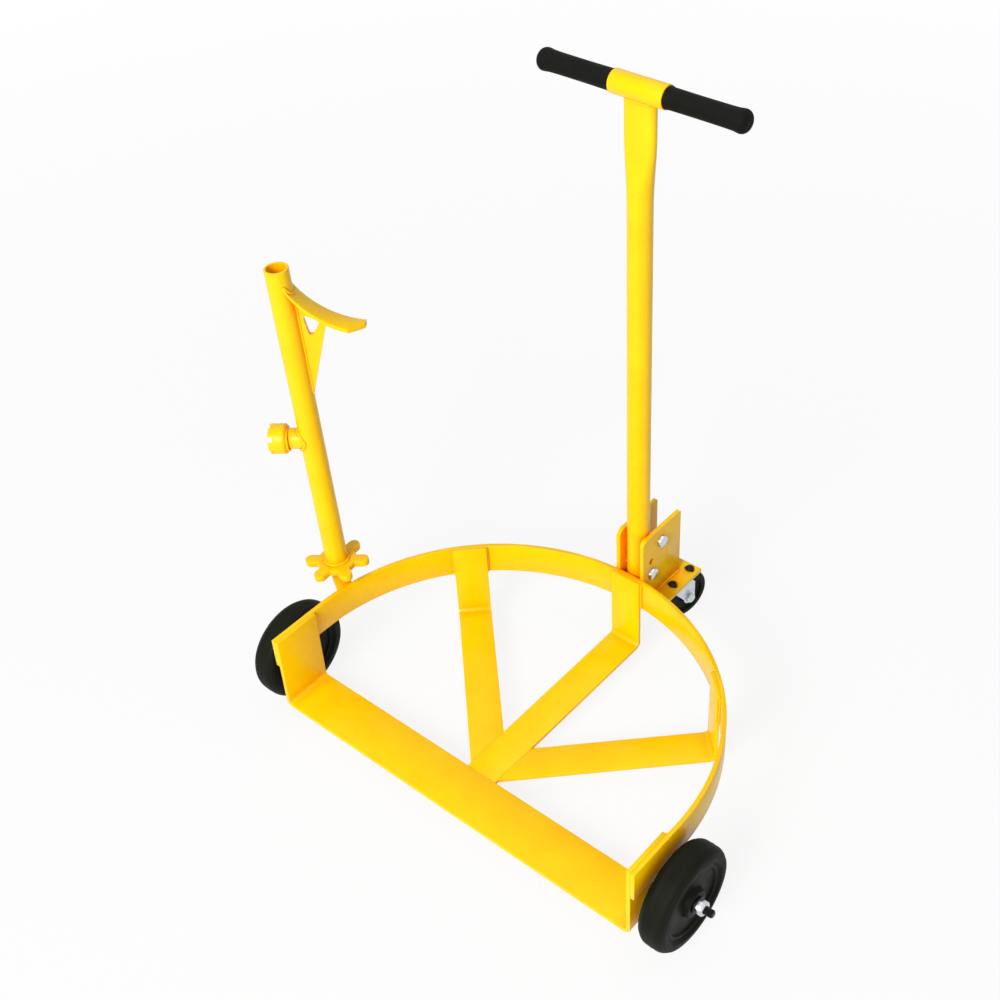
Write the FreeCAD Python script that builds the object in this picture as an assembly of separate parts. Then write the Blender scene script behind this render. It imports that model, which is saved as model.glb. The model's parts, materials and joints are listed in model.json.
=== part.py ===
import FreeCAD, Part
import math
import os

from FreeCAD import Vector

# Drum trolley: a half-round deck frame on two side wheels and a rear swivel caster, with a
# leaning T-handle and a lift-off drum lever that stands on a post beside the rim.
# Millimetres. +Z is up, +Y points to the handle, +X is the right-hand wheel's side.
# The origin is the drum's centre on the top face of the deck bars.

# Flat bar stock and the rim band
bar_thickness = 6.35
bend_radius = 6.35
rim_inner_radius = 318.0
rim_height = 50.8
rim_overlap = 5.0
rim_leg = 98.0
front_bar_width = 76.2
spoke_width = 50.8
side_spoke_angle = 45.0
side_spoke_offset = -5.0

# Side wheels
axle_inset = 11.6
axle_z = 39.2
axle_radius = 6.0
axle_tail = 12.4
axle_chamfer = 1.0
axle_nut_flats = 18.0
axle_nut_height = 10.8
wheel_gap = 8.65
wheel_radius = 76.2
tyre_width = 40.0
tyre_lip = 3.5
tyre_shoulder = 13.0
tread_depth = 20.2
wheel_rim_wall = 6.0
wheel_recess_depth = 3.5
wheel_hub_radius = 21.0
wheel_hub_overhang = 1.0
wheel_draft = 1.5
wheel_bush_wall = 4.0
spacer_wall = 5.0
washer_radius = 12.0
washer_thickness = 2.5

# Handle bracket behind the rim
bracket_side_margin = 4.8
bracket_overhang = 33.0
cheek_clearance = 1.3
cheek_behind = 71.5
cheek_height = 119.0
cheek_front_round = 12.0
cheek_rear_round = 3.0
pivot_rise = 46.0
pin_hole_rise = 23.0
pin_hole_radius = 5.5
stop_bolt_drop = 24.0
bracket_bolt_radius = 5.0
bracket_bolt_flats = 17.0
bracket_bolt_head = 6.4
bracket_nut_height = 8.0
bracket_bolt_tail = 4.0

# T-handle
handle_setback = 20.15
handle_radius = 16.7
handle_wall = 3.38
handle_toe = 21.0
flattening_length = 95.0
flat_length = 57.0
flat_half_width = 23.0
flat_half_thickness = 7.0
round_end_flat = 4.2
crossbar_z = 887.0
crossbar_radius = 11.0
crossbar_wall = 2.6
sleeve_wall = 4.0
sleeve_half_length = 39.0
grip_length = 111.5
grip_cap = 4.0
grip_wall = 3.0
grip_flare = 1.4
grip_flare_length = 9.0
grip_end_round = 4.0

# Rear caster
swivel_setback = 79.65
caster_rest_angle = -12.0
caster_lead = 41.0
caster_headroom = 13.45
caster_wheel_radius = 41.3
caster_wheel_width = 31.0
caster_tread_round = 6.0
caster_hub_overhang = 2.0
caster_hub_radius = 13.0
caster_rim_wall = 11.0
caster_recess_depth = 4.0
caster_draft = 1.0
caster_bush_wall = 3.0
caster_axle_radius = 4.0
caster_axle_flats = 13.0
caster_axle_head = 5.3
caster_nut_height = 6.5
caster_axle_tail = 2.5
caster_plate_thickness = 3.0
caster_plate_corner = 6.0
caster_plate_end = 1.0
caster_plate_side = 6.0
caster_screw_spacing_x = 73.0
caster_screw_spacing_y = 44.0
caster_screw_radius = 4.0
caster_slot_length = 17.0
caster_slot_play = 0.5
caster_screw_head_radius = 6.5
caster_screw_head = 3.2
caster_screw_chamfer = 1.0
caster_screw_flats = 13.0
caster_screw_nut = 6.0
caster_screw_tail = 1.5
race_radius = 20.0
race_land = 8.0
race_depth = 6.6
race_gap = 1.0
ball_radius = 3.0
ball_count = 14
kingpin_radius = 5.0
kingpin_head_overhang = 4.0
kingpin_head = 3.5
fork_crown = 4.0
fork_leg = 2.5
fork_side_gap = 1.0
fork_front_reach = 17.0
fork_toe_radius = 11.0

# Post and lift-off drum lever
post_angle = 170.0
post_lean = 3.6
post_radius = 12.7
post_root_rise = 25.0
post_bend_radius = 24.0
post_length = 165.0
post_tip_chamfer = 3.0
stop_ring_height = 8.0
lever_seat = 25.0
lever_heading = 35.5
lever_wall = 3.38
lever_slip = 0.62
lever_length = 502.0
star_lobes = 6
star_rim_width = 12.3
star_lobe_length = 19.0
star_lobe_radius = 9.0
star_thickness = 10.0
star_turn = 0.0
side_head_height = 231.0
side_neck_radius = 15.0
side_neck_length = 16.3
side_head_rim = 6.5
side_head_length = 25.0
side_head_chamfer = 3.0
side_head_slots = 3
side_slot_width = 8.0
side_slot_depth = 6.5
hook_setback = 35.0
hook_depth = 162.0
hook_lip_start_drop = 2.0
hook_lip_middle = 66.0
hook_lip_middle_drop = 42.5
hook_lip_tip = 103.0
hook_lip_tip_drop = 54.0
hook_lip_width = 31.0
hook_lip_cut = 20.0
hook_gusset_reach = 54.0
hook_hole_inset = 5.5
hook_hole_width = 23.0
hook_hole_height = 39.0
hook_hole_inner_margin = 18.0
hook_hole_outer_margin = 8.0
hook_hole_foot = 6.0
hook_hole_round = 4.0

# Clearances
running_clearance = 0.05
bolt_play = 0.1
turning_gap = 0.3

# Heights that follow from the wheels up
floor_z = axle_z - wheel_radius
caster_axle_z = floor_z + caster_wheel_radius
crown_bottom = caster_axle_z + caster_wheel_radius + caster_headroom
crown_top = crown_bottom + fork_crown
race_bottom = crown_top + race_gap
caster_mount = race_bottom + race_depth + caster_plate_thickness
bracket_top = caster_mount + bar_thickness
rim_bottom = bracket_top - rim_overlap
rim_top = rim_bottom + rim_height
post_root_z = rim_bottom + post_root_rise
cheek_top = bracket_top + cheek_height
pivot_z = bracket_top + pivot_rise
pin_hole_z = pivot_z + pin_hole_rise
stop_bolt_z = cheek_top - stop_bolt_drop
handle_bottom = pivot_z - handle_toe
flattening_end = crossbar_z - flat_length
flattening_start = flattening_end - flattening_length

# Radii and reaches that follow from the sizes above
rim_outer_radius = rim_inner_radius + bar_thickness
front_bar_rear = front_bar_width - rim_leg
axle_y = front_bar_rear - axle_inset
wheel_centre_x = rim_outer_radius + wheel_gap + tyre_width / 2
wheel_hub_length = tyre_width + 2 * wheel_hub_overhang
tyre_seat_radius = wheel_radius - tread_depth
tyre_seat_width = tyre_width - 2 * tyre_lip
wheel_recess_radius = tyre_seat_radius - wheel_rim_wall
wheel_web = tyre_seat_width - 2 * wheel_recess_depth
wheel_bush_radius = axle_radius + wheel_bush_wall
spacer_radius = axle_radius + spacer_wall
handle_y = rim_outer_radius + handle_setback
stop_bolt_y = handle_y + handle_radius + bracket_bolt_radius + turning_gap
swivel_y = rim_outer_radius + swivel_setback
cheek_inner = handle_radius + cheek_clearance
cheek_outer = cheek_inner + bar_thickness
cheek_rear = handle_y + cheek_behind
sleeve_radius = crossbar_radius + sleeve_wall
grip_radius = crossbar_radius + grip_wall
grip_end = sleeve_half_length + grip_length
caster_hub_length = caster_wheel_width + 2 * caster_hub_overhang
caster_recess_radius = caster_wheel_radius - caster_rim_wall
caster_web = caster_wheel_width - 2 * caster_recess_depth
caster_bush_radius = caster_axle_radius + caster_bush_wall
caster_slot_radius = caster_screw_radius + caster_slot_play
caster_plate_length = caster_screw_spacing_x + caster_slot_length + 2 * caster_plate_end
caster_plate_width = caster_screw_spacing_y + 2 * caster_plate_side
bracket_half_width = caster_plate_length / 2 + bracket_side_margin
bracket_rear = swivel_y + bracket_overhang
race_outer_radius = race_radius + race_land
kingpin_head_radius = kingpin_radius + kingpin_head_overhang
fork_leg_inner = caster_hub_length / 2 + fork_side_gap
fork_leg_outer = fork_leg_inner + fork_leg
lever_radius = post_radius + lever_slip + lever_wall
star_root_radius = lever_radius + star_rim_width
star_reach = star_root_radius + star_lobe_length - star_lobe_radius
side_head_start = lever_radius + side_neck_length
side_head_radius = side_neck_radius + side_head_rim
hook_top = lever_length - hook_setback


def prism(points, height):
    """Straight-sided solid on a polygon in the XY plane, rising by height."""
    corners = [Vector(x, y, 0) for x, y in points]
    outline = Part.makePolygon(corners + corners[:1])
    return Part.Face(outline).extrude(Vector(0, 0, height))


def lathe(profile):
    """Solid of revolution about Z from (radius, height) points."""
    corners = [Vector(radius, 0, height) for radius, height in profile]
    outline = Part.makePolygon(corners + corners[:1])
    return Part.Face(outline).revolve(Vector(0, 0, 0), Vector(0, 0, 1), 360)


def tube(outer, inner, length):
    """Round tube standing on the XY plane."""
    return Part.makeCylinder(outer, length).cut(Part.makeCylinder(inner, length))


def both_ways(profile):
    """Closes a half profile, given from the bore outwards, with its mirror image below."""
    return profile + [(radius, -height) for radius, height in reversed(profile)]


def round_edges(solid, edge_radius, fillet):
    """Rounds the circular edges of one radius."""
    edges = []
    for edge in solid.Edges:
        if isinstance(edge.Curve, Part.Circle) and abs(edge.Curve.Radius - edge_radius) < 1e-6:
            edges.append(edge)
    return solid.makeFillet(fillet, edges)


def hexagon(flats, height):
    """Hexagonal prism standing on the XY plane, its top corners turned off."""
    corner = flats / math.sqrt(3)
    points = []
    for step in range(6):
        turn = math.radians(60 * step)
        points.append((corner * math.cos(turn), corner * math.sin(turn)))
    chamfer = (corner - flats / 2) / math.sqrt(3)
    blank = lathe([(0, 0), (corner, 0), (corner, height - chamfer), (flats / 2, height), (0, height)])
    return prism(points, height).common(blank)


def hex_bolt(radius, length, flats, head):
    """Hexagon-head bolt: the shank rises from the XY plane and the head hangs below it."""
    cap = hexagon(flats, head).mirror(Vector(0, 0, 0), Vector(0, 0, 1))
    return cap.fuse(threaded_pin(radius, length)).removeSplitter()


def threaded_pin(radius, length):
    """Round pin standing on the XY plane, its top edge turned off for the thread."""
    tip = radius - axle_chamfer
    return lathe([(0, 0), (radius, 0), (radius, length - axle_chamfer), (tip, length), (0, length)])


def hex_nut(radius, flats, height):
    """Hexagon nut standing on the XY plane."""
    return hexagon(flats, height).cut(Part.makeCylinder(radius, height))


def along_x(solid, x, y, z, direction=1):
    """Lays a solid made about Z along X or against it, with its origin at a point."""
    turn = FreeCAD.Rotation(Vector(0, 1, 0), 90 * direction)
    solid.Placement = FreeCAD.Placement(Vector(x, y, z), turn).multiply(solid.Placement)
    return solid


def moved(solid, x, y, z):
    """Copy of a solid shifted by a vector."""
    copy = solid.copy()
    copy.translate(Vector(x, y, z))
    return copy


def bent_bar(start, reach, width):
    """Flat bar along +X whose outer end is bent up to the rim's top edge."""
    outer = bend_radius + bar_thickness
    centre = Vector(reach - outer, 0, bend_radius)
    slant = Vector(math.cos(math.pi / 4), 0, -math.sin(math.pi / 4))
    low_start = Vector(start, 0, -bar_thickness)
    low_end = Vector(centre.x, 0, -bar_thickness)
    outer_foot = Vector(reach, 0, centre.z)
    outer_top = Vector(reach, 0, rim_top)
    inner_top = Vector(reach - bar_thickness, 0, rim_top)
    inner_foot = Vector(reach - bar_thickness, 0, centre.z)
    high_end = Vector(centre.x, 0, 0)
    high_start = Vector(start, 0, 0)
    outline = Part.Wire([
        Part.LineSegment(low_start, low_end).toShape(),
        Part.Arc(low_end, centre + slant * outer, outer_foot).toShape(),
        Part.LineSegment(outer_foot, outer_top).toShape(),
        Part.LineSegment(outer_top, inner_top).toShape(),
        Part.LineSegment(inner_top, inner_foot).toShape(),
        Part.Arc(inner_foot, centre + slant * bend_radius, high_end).toShape(),
        Part.LineSegment(high_end, high_start).toShape(),
        Part.LineSegment(high_start, low_start).toShape(),
    ])
    return moved(Part.Face(outline).extrude(Vector(0, width, 0)), 0, -width / 2, 0)


def rim_cylinder(radius):
    """Tall round block about the drum's axis, used to fit pieces to the rim's faces."""
    return Part.makeCylinder(radius, crossbar_z, Vector(0, 0, -rim_top))


def make_rim():
    """Half-round band with a straight leg at each end."""
    def leg_points(radius):
        return Vector(radius, -rim_leg, 0), Vector(radius, 0, 0), Vector(0, radius, 0), \
            Vector(-radius, 0, 0), Vector(-radius, -rim_leg, 0)

    edges = []
    for radius in (rim_outer_radius, rim_inner_radius):
        right_end, right, back, left, left_end = leg_points(radius)
        edges.append(Part.LineSegment(right_end, right).toShape())
        edges.append(Part.Arc(right, back, left).toShape())
        edges.append(Part.LineSegment(left, left_end).toShape())
    for side in (1, -1):
        inner = Vector(side * rim_inner_radius, -rim_leg, 0)
        outer = Vector(side * rim_outer_radius, -rim_leg, 0)
        edges.append(Part.LineSegment(inner, outer).toShape())
    outline = Part.Wire(Part.__sortEdges__(edges))
    return moved(Part.Face(outline).extrude(Vector(0, 0, rim_height)), 0, 0, rim_bottom)


def make_front_bar():
    """Wide flat bar under the drum, both ends bent up inside the rim's legs."""
    right = bent_bar(0, rim_inner_radius, front_bar_width)
    left = right.mirror(Vector(0, 0, 0), Vector(1, 0, 0))
    return moved(right.fuse(left).removeSplitter(), 0, front_bar_rear - front_bar_width / 2, 0)


def make_centre_spoke():
    """Flat bar from the front bar to the back of the rim."""
    spoke = bent_bar(front_bar_rear, rim_inner_radius, spoke_width)
    spoke.rotate(Vector(0, 0, 0), Vector(0, 0, 1), 90)
    return spoke.common(rim_cylinder(rim_inner_radius))


def make_side_spoke(side):
    """Flat bar at an angle, mitred to the front bar and the centre spoke."""
    reach = rim_inner_radius - side_spoke_offset * math.sin(math.radians(side_spoke_angle))
    spoke = bent_bar(-spoke_width, reach, spoke_width)
    spoke.rotate(Vector(0, 0, 0), Vector(0, 0, 1), 90 - side_spoke_angle)
    spoke.translate(Vector(0, side_spoke_offset, 0))
    block = 2 * rim_outer_radius
    front_corner = Vector(-block / 2, front_bar_rear - block, -block / 2)
    centre_corner = Vector(spoke_width / 2 - block, -block / 2, -block / 2)
    front_side = Part.makeBox(block, block, block, front_corner)
    centre_side = Part.makeBox(block, block, block, centre_corner)
    spoke = spoke.cut(front_side).cut(centre_side).common(rim_cylinder(rim_inner_radius))
    if side < 0:
        spoke = spoke.mirror(Vector(0, 0, 0), Vector(1, 0, 0))
    return spoke


def make_wheel_core():
    """Moulded wheel centre: a hub, a web in a recess each side, and the tyre's seat."""
    half_hub = wheel_hub_length / 2
    half_web = wheel_web / 2
    half_seat = tyre_seat_width / 2
    return lathe(both_ways([
        (wheel_bush_radius, half_hub), (wheel_hub_radius - wheel_draft, half_hub),
        (wheel_hub_radius + wheel_draft, half_web), (wheel_recess_radius - wheel_draft, half_web),
        (wheel_recess_radius, half_seat), (tyre_seat_radius, half_seat)]))


def make_tyre():
    """Solid rubber tread with rounded shoulders, moulded over the wheel centre's seat."""
    half_seat = tyre_seat_width / 2
    half_width = tyre_width / 2
    tread = lathe(both_ways([(tyre_seat_radius, half_seat), (tyre_seat_radius + tyre_lip, half_width),
                             (wheel_radius, half_width)]))
    return round_edges(tread, wheel_radius, tyre_shoulder)


def make_side_wheel(name, side):
    """One side wheel with the pieces on its stub axle, from the inside out."""
    hub_inner = wheel_centre_x - wheel_hub_length / 2
    hub_outer = wheel_centre_x + wheel_hub_length / 2
    washer_start = hub_outer + turning_gap
    nut_start = washer_start + washer_thickness
    axle_length = nut_start + axle_nut_height + axle_tail - rim_inner_radius
    spacer_length = hub_inner - turning_gap - rim_inner_radius
    bush_inner = axle_radius + running_clearance
    collar_bore = axle_radius + bolt_play

    def at(solid, reach):
        return along_x(solid, side * reach, axle_y, axle_z, side)

    return {
        name + "_wheel_core": at(make_wheel_core(), wheel_centre_x),
        name + "_tyre": at(make_tyre(), wheel_centre_x),
        name + "_wheel_bush": at(tube(wheel_bush_radius, bush_inner, wheel_hub_length), hub_inner),
        name + "_axle": at(threaded_pin(axle_radius, axle_length), rim_inner_radius),
        name + "_axle_spacer": at(tube(spacer_radius, collar_bore, spacer_length), rim_inner_radius),
        name + "_axle_washer": at(tube(washer_radius, collar_bore, washer_thickness), washer_start),
        name + "_axle_nut": at(hex_nut(axle_radius, axle_nut_flats, axle_nut_height), nut_start),
    }


def slot_cutter(depth):
    """Long hole along X, centred on the origin and cut upwards."""
    straight = caster_slot_length - 2 * caster_slot_radius
    corner = Vector(-straight / 2, -caster_slot_radius, 0)
    cutter = Part.makeBox(straight, 2 * caster_slot_radius, depth, corner)
    for end in (-straight / 2, straight / 2):
        cutter = cutter.fuse(Part.makeCylinder(caster_slot_radius, depth, Vector(end, 0, 0)))
    return cutter


def caster_screw_places():
    """Centres of the caster plate's screws."""
    places = []
    for across in (-1, 1):
        for along in (-1, 1):
            x = across * caster_screw_spacing_x / 2
            y = swivel_y + along * caster_screw_spacing_y / 2
            places.append((x, y))
    return places


def make_bracket_plate():
    """Flat plate on the back of the rim that carries the cheeks and the caster."""
    plate = Part.makeBox(2 * bracket_half_width, bracket_rear, bar_thickness,
                         Vector(-bracket_half_width, 0, caster_mount))
    plate = plate.cut(rim_cylinder(rim_outer_radius))
    for x, y in caster_screw_places():
        plate = plate.cut(moved(slot_cutter(bar_thickness), x, y, caster_mount))
    return plate


def top_edge(cheek, y):
    """Edge across a cheek's top at one end."""
    for edge in cheek.Edges:
        box = edge.BoundBox
        if box.ZMin > cheek_top - turning_gap and abs(box.YMin - y) + abs(box.YMax - y) < turning_gap:
            return edge


def make_cheek(side):
    """Upright plate beside the handle, drilled for the pivot bolt, the lock pin and the stop bolt."""
    start = cheek_inner if side > 0 else -cheek_outer
    front = math.sqrt(rim_outer_radius ** 2 - cheek_outer ** 2)
    corner = Vector(start, front, bracket_top)
    cheek = Part.makeBox(bar_thickness, cheek_rear - front, cheek_height, corner)
    for y, radius in ((front, cheek_front_round), (cheek_rear, cheek_rear_round)):
        cheek = cheek.makeFillet(radius, [top_edge(cheek, y)])
    cheek = cheek.cut(rim_cylinder(rim_outer_radius))
    bolt_bore = bracket_bolt_radius + bolt_play
    for radius, y, z in ((bolt_bore, handle_y, pivot_z), (pin_hole_radius, handle_y, pin_hole_z),
                         (bolt_bore, stop_bolt_y, stop_bolt_z)):
        cheek = cheek.cut(along_x(Part.makeCylinder(radius, 2 * cheek_outer), -cheek_outer, y, z))
    return cheek


def make_bracket_bolt(y, z):
    """Hexagon bolt through both cheeks, head on the right."""
    grip = 2 * cheek_outer + bracket_nut_height + bracket_bolt_tail
    bolt = hex_bolt(bracket_bolt_radius, grip, bracket_bolt_flats, bracket_bolt_head)
    return along_x(bolt, cheek_outer, y, z, -1)


def make_bracket_nut(y, z):
    """Nut of a cheek bolt, on the left."""
    nut = hex_nut(bracket_bolt_radius, bracket_bolt_flats, bracket_nut_height)
    return along_x(nut, -cheek_outer, y, z, -1)


def round_section(radius, half_flat, z):
    """Circle about the handle's axis, cut into four arcs that match a flattened section."""
    rise = math.sqrt(radius ** 2 - half_flat ** 2)
    corners = [Vector(half_flat, -rise, z), Vector(half_flat, rise, z), Vector(-half_flat, rise, z),
               Vector(-half_flat, -rise, z)]
    middles = [Vector(radius, 0, z), Vector(0, radius, z),
               Vector(-radius, 0, z), Vector(0, -radius, z)]
    arcs = []
    for step in range(4):
        arcs.append(Part.Arc(corners[step], middles[step], corners[(step + 1) % 4]).toShape())
    return Part.Wire(arcs)


def flat_section(half_width, half_thickness, z):
    """Flattened tube section: two flats joined by half circles."""
    half_flat = half_width - half_thickness
    corners = [Vector(half_flat, -half_thickness, z), Vector(half_flat, half_thickness, z),
               Vector(-half_flat, half_thickness, z), Vector(-half_flat, -half_thickness, z)]
    return Part.Wire([
        Part.Arc(corners[0], Vector(half_width, 0, z), corners[1]).toShape(),
        Part.LineSegment(corners[1], corners[2]).toShape(),
        Part.Arc(corners[2], Vector(-half_width, 0, z), corners[3]).toShape(),
        Part.LineSegment(corners[3], corners[0]).toShape(),
    ])


def flattened_end(radius, half_width, half_thickness):
    """Upper stretch of the handle, pressed from round to flat and run up to the cross sleeve."""
    taper = Part.makeLoft([round_section(radius, round_end_flat, flattening_start),
                           flat_section(half_width, half_thickness, flattening_end)], True, True)
    straight = Part.Face(flat_section(half_width, half_thickness, flattening_end))
    return taper.fuse(straight.extrude(Vector(0, 0, crossbar_z - flattening_end)))


def make_handle_tube():
    """Upright tube, drilled for the pivot bolt and the lock pin, its top flattened and saddled."""
    inner_radius = handle_radius - handle_wall
    shank = tube(handle_radius, inner_radius, flattening_start - handle_bottom)
    shank.translate(Vector(0, 0, handle_bottom))
    top = flattened_end(handle_radius, flat_half_width, flat_half_thickness)
    hollow_half_width = flat_half_width - handle_wall
    hollow = flattened_end(inner_radius, hollow_half_width, flat_half_thickness - handle_wall)
    saddle = Part.makeCylinder(sleeve_radius, 4 * sleeve_half_length)
    top = top.cut(hollow).cut(along_x(saddle, -2 * sleeve_half_length, 0, crossbar_z))
    handle = moved(shank.fuse(top), 0, handle_y, 0)
    for radius, z in ((bracket_bolt_radius + running_clearance, pivot_z), (pin_hole_radius, pin_hole_z)):
        drill = Part.makeCylinder(radius, 2 * cheek_outer)
        handle = handle.cut(along_x(drill, -cheek_outer, handle_y, z))
    return handle


def make_cross_sleeve():
    """Short socket across the top of the handle."""
    socket = tube(sleeve_radius, crossbar_radius, 2 * sleeve_half_length)
    return along_x(socket, -sleeve_half_length, handle_y, crossbar_z)


def make_crossbar():
    """Tube through the sleeve that carries the grips."""
    half_length = grip_end - grip_cap
    bar = tube(crossbar_radius, crossbar_radius - crossbar_wall, 2 * half_length)
    return along_x(bar, -half_length, handle_y, crossbar_z)


def make_grip(side):
    """Closed push-on grip, slightly flared at both ends and rounded at its tip."""
    length = grip_length
    wide = grip_radius + grip_flare
    grip = lathe([
        (crossbar_radius, 0), (wide, 0), (grip_radius, grip_flare_length),
        (grip_radius, length - grip_flare_length), (wide, length - grip_end_round), (wide, length),
        (0, length), (0, length - grip_cap), (crossbar_radius, length - grip_cap)])
    tip_edges = []
    for edge in grip.Edges:
        if isinstance(edge.Curve, Part.Circle) and abs(edge.BoundBox.ZMax - length) < 1e-6:
            tip_edges.append(edge)
    grip = grip.makeFillet(grip_end_round - grip_flare, tip_edges)
    return along_x(grip, side * sleeve_half_length, handle_y, crossbar_z, side)


def on_swivel(solid):
    """Places a caster piece, drawn with its swivel axis on Z and its wheel trailing to +Y."""
    solid.rotate(Vector(0, 0, 0), Vector(0, 0, 1), caster_rest_angle)
    solid.translate(Vector(0, swivel_y, 0))
    return solid


def race_groove(clearance):
    """Ring that cuts the balls' groove."""
    centre = Vector(0, 0, (race_bottom + crown_top) / 2)
    return Part.makeTorus(race_radius, ball_radius + clearance, centre)


def make_caster_plate():
    """Pressed top plate with its mounting slots and the upper ball race."""
    plate = Part.makeBox(caster_plate_length, caster_plate_width, caster_plate_thickness,
                         Vector(-caster_plate_length / 2, -caster_plate_width / 2, 0))
    upright = [edge for edge in plate.Edges if edge.BoundBox.ZLength > caster_plate_thickness / 2]
    plate = plate.makeFillet(caster_plate_corner, upright)
    plate.translate(Vector(0, swivel_y, caster_mount - caster_plate_thickness))
    race = Part.makeCylinder(race_outer_radius, race_depth, Vector(0, swivel_y, race_bottom))
    plate = plate.fuse(race).removeSplitter()
    for x, y in caster_screw_places():
        slot = slot_cutter(caster_plate_thickness)
        plate = plate.cut(moved(slot, x, y, caster_mount - caster_plate_thickness))
    recess = Part.makeCylinder(kingpin_head_radius + bolt_play, kingpin_head + bolt_play,
                               Vector(0, swivel_y, caster_mount - kingpin_head - bolt_play))
    bore_depth = caster_mount - race_bottom
    bore = Part.makeCylinder(kingpin_radius + bolt_play, bore_depth, Vector(0, swivel_y, race_bottom))
    return plate.cut(recess).cut(bore).cut(moved(race_groove(running_clearance), 0, swivel_y, 0))


def make_caster_balls():
    """Ring of steel balls between the two races."""
    balls = []
    for step in range(ball_count):
        turn = 2 * math.pi * step / ball_count
        place = Vector(race_radius * math.cos(turn), swivel_y + race_radius * math.sin(turn),
                       (race_bottom + crown_top) / 2)
        balls.append(Part.makeSphere(ball_radius, place))
    return Part.makeCompound(balls)


def make_kingpin():
    """Riveted pin that holds the fork up to the plate."""
    top = caster_mount - bolt_play
    return moved(lathe([
        (0, top), (kingpin_head_radius, top), (kingpin_head_radius, top - kingpin_head),
        (kingpin_radius, top - kingpin_head), (kingpin_radius, crown_bottom - turning_gap),
        (kingpin_head_radius, crown_bottom - turning_gap),
        (kingpin_radius, crown_bottom - turning_gap - kingpin_head),
        (0, crown_bottom - turning_gap - kingpin_head)]), 0, swivel_y, 0)


def make_fork_leg(side):
    """Side plate of the fork, tapering from the crown back to the axle."""
    toe = Vector(0, caster_lead, caster_axle_z)
    front_toe = toe + Vector(0, -fork_toe_radius, 0)
    back_toe = toe + Vector(0, fork_toe_radius, 0)
    front_top = Vector(0, -fork_front_reach, crown_top)
    back_top = Vector(0, race_outer_radius, crown_top)
    back_knee = Vector(0, back_toe.y, (crown_bottom + caster_axle_z) / 2)
    outline = Part.Wire([
        Part.LineSegment(front_top, front_toe).toShape(),
        Part.Arc(front_toe, toe - Vector(0, 0, fork_toe_radius), back_toe).toShape(),
        Part.LineSegment(back_toe, back_knee).toShape(),
        Part.LineSegment(back_knee, back_top).toShape(),
        Part.LineSegment(back_top, front_top).toShape(),
    ])
    start = fork_leg_inner if side > 0 else -fork_leg_outer
    return moved(Part.Face(outline).extrude(Vector(fork_leg, 0, 0)), start, 0, 0)


def make_caster_fork():
    """Pressed fork: a round crown with the lower ball race and two side plates."""
    base = Vector(0, 0, crown_bottom)
    crown = Part.makeCylinder(race_outer_radius, fork_crown, base)
    fork = crown.fuse(make_fork_leg(1)).fuse(make_fork_leg(-1)).removeSplitter()
    bore = Part.makeCylinder(kingpin_radius + running_clearance, fork_crown, base)
    axle_hole = Part.makeCylinder(caster_axle_radius + bolt_play, 2 * fork_leg_outer)
    fork = fork.cut(bore).cut(race_groove(turning_gap))
    return on_swivel(fork.cut(along_x(axle_hole, -fork_leg_outer, caster_lead, caster_axle_z)))


def on_caster_axle(solid, reach, direction=1):
    """Places a piece, drawn about Z, on the caster's axle."""
    return on_swivel(along_x(solid, reach, caster_lead, caster_axle_z, direction))


def make_caster_wheel():
    """Moulded caster wheel with a recess round its hub."""
    half_hub = caster_hub_length / 2
    half_web = caster_web / 2
    half_width = caster_wheel_width / 2
    wheel = lathe(both_ways([
        (caster_bush_radius, half_hub), (caster_hub_radius - caster_draft, half_hub),
        (caster_hub_radius, half_web), (caster_recess_radius - caster_draft, half_web),
        (caster_recess_radius, half_width), (caster_wheel_radius, half_width)]))
    return on_caster_axle(round_edges(wheel, caster_wheel_radius, caster_tread_round), 0)


def make_caster():
    """Every caster piece, from the plate down."""
    axle_length = 2 * fork_leg_outer + caster_nut_height + caster_axle_tail
    screws = []
    nuts = []
    nut_top = caster_mount - caster_plate_thickness
    screw_length = bar_thickness + caster_plate_thickness + caster_screw_nut + caster_screw_tail
    for x, y in caster_screw_places():
        head = Part.makeCylinder(caster_screw_head_radius, caster_screw_head)
        head = head.makeChamfer(caster_screw_chamfer, [head.Edges[0]])
        shank = Part.makeCylinder(caster_screw_radius, screw_length, Vector(0, 0, -screw_length))
        screws.append(moved(head.fuse(shank).removeSplitter(), x, y, bracket_top))
        nut = hex_nut(caster_screw_radius, caster_screw_flats, caster_screw_nut)
        nuts.append(moved(nut, x, y, nut_top - caster_screw_nut))
    bush = tube(caster_bush_radius, caster_axle_radius + running_clearance, caster_hub_length)
    bolt = hex_bolt(caster_axle_radius, axle_length, caster_axle_flats, caster_axle_head)
    nut = hex_nut(caster_axle_radius, caster_axle_flats, caster_nut_height)
    return {
        "caster_top_plate": make_caster_plate(),
        "caster_screws": Part.makeCompound(screws),
        "caster_screw_nuts": Part.makeCompound(nuts),
        "caster_balls": make_caster_balls(),
        "caster_kingpin": make_kingpin(),
        "caster_fork": make_caster_fork(),
        "caster_wheel": make_caster_wheel(),
        "caster_wheel_bush": on_caster_axle(bush, -caster_hub_length / 2),
        "caster_axle_bolt": on_caster_axle(bolt, fork_leg_outer, -1),
        "caster_axle_nut": on_caster_axle(nut, -fork_leg_outer, -1),
    }


def lean_turn():
    """Rotation from upright to the post's outward lean."""
    outward = FreeCAD.Rotation(Vector(0, 0, 1), post_angle)
    return outward.multiply(FreeCAD.Rotation(Vector(0, 1, 0), post_lean))


def post_foot():
    """Point where the post's bend ends and its straight stretch starts."""
    lean = math.radians(post_lean)
    reach = rim_outer_radius + post_bend_radius * math.cos(lean)
    height = post_root_z + post_bend_radius * (1 - math.sin(lean))
    turn = math.radians(post_angle)
    return Vector(reach * math.cos(turn), reach * math.sin(turn), height)


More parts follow.
